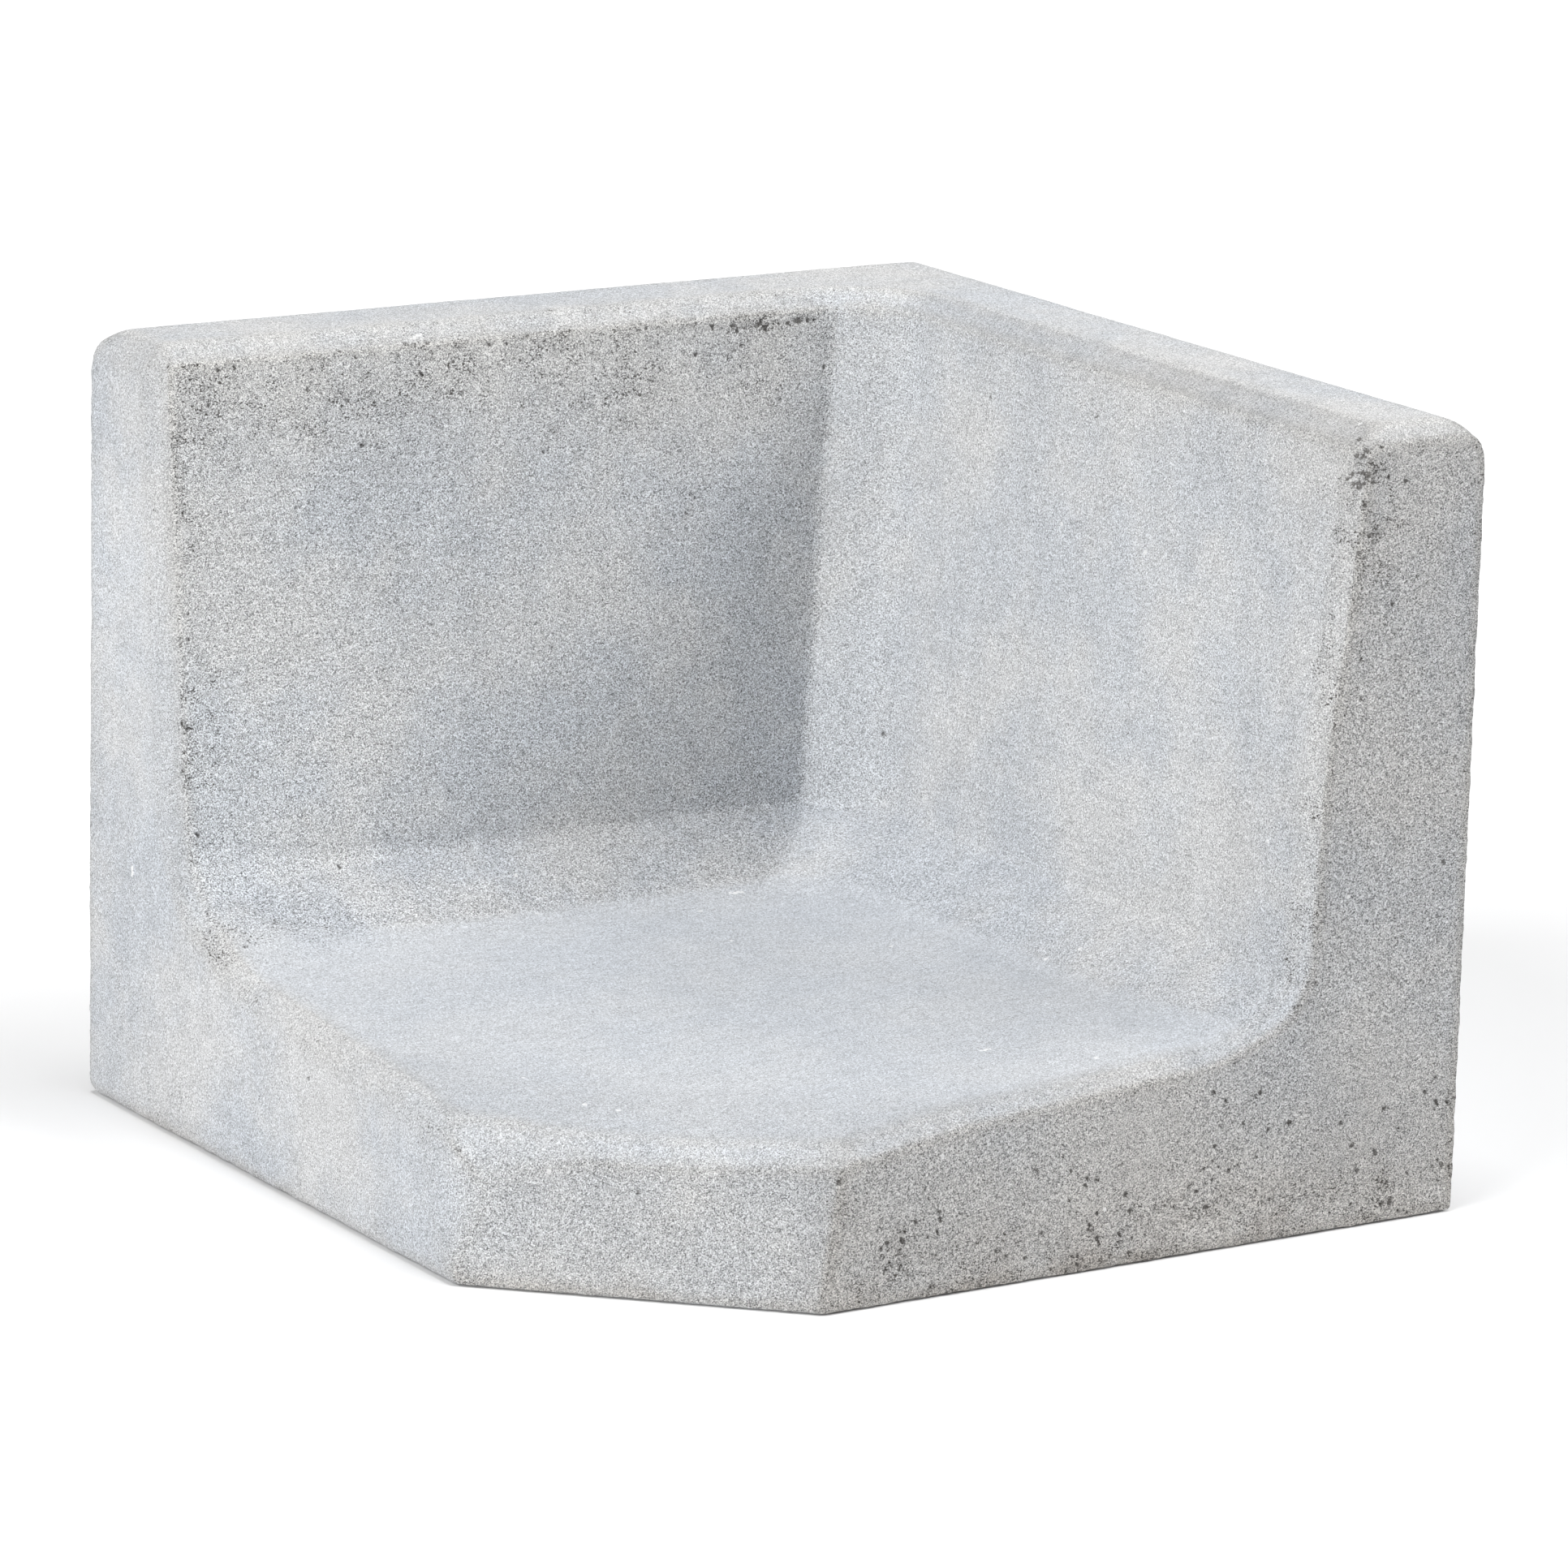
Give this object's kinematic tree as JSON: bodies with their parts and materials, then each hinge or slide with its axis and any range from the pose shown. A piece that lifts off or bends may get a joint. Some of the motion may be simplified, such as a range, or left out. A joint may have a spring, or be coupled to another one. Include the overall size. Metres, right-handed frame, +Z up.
{
  "type": "precast concrete corner angle element",
  "caption": "Right-angled corner of an L-shaped precast concrete retaining edge: two upright walls on a shared foot with its free corner cut off, reinforced inside.",
  "frame": {"origin": "middle of the underside of the square footprint, on the surface the element stands on", "axes": "+Z up; one wall stands along X with its outer face towards +Y, the other along Y with its outer face towards +X; the cut corner of the foot points to -X and -Y"},
  "size_m": [0.5, 0.5, 0.4],
  "materials": {
    "concrete": "matte",
    "bar_steel": "matte",
    "tie_wire": "satin",
    "spacer_plastic": "matte"
  },
  "bodies": {
    "root": {"concrete_casting": "concrete", "stem_bar_x_1": "bar_steel", "stem_bar_y_1": "bar_steel", "stem_bar_x_2": "bar_steel", "stem_bar_y_2": "bar_steel", "stem_bar_x_3": "bar_steel", "stem_bar_y_3": "bar_steel", "corner_bar_level_1": "bar_steel", "corner_bar_level_2": "bar_steel", "corner_bar_level_3": "bar_steel", "corner_bar_diagonal": "bar_steel", "tie_wire_1": "tie_wire", "tie_wire_2": "tie_wire", "tie_wire_3": "tie_wire", "tie_wire_4": "tie_wire", "tie_wire_5": "tie_wire", "tie_wire_6": "tie_wire", "tie_wire_7": "tie_wire", "tie_wire_8": "tie_wire", "tie_wire_9": "tie_wire", "tie_wire_10": "tie_wire", "tie_wire_11": "tie_wire", "tie_wire_12": "tie_wire", "tie_wire_13": "tie_wire", "tie_wire_14": "tie_wire", "tie_wire_15": "tie_wire", "tie_wire_16": "tie_wire", "tie_wire_17": "tie_wire", "bar_spacer_1": "spacer_plastic", "bar_spacer_2": "spacer_plastic", "bar_spacer_3": "spacer_plastic", "bar_spacer_4": "spacer_plastic", "bar_spacer_5": "spacer_plastic", "bar_spacer_6": "spacer_plastic", "bar_spacer_7": "spacer_plastic", "bar_spacer_8": "spacer_plastic", "bar_spacer_9": "spacer_plastic", "bar_spacer_10": "spacer_plastic"}
  },
  "joints": []
}
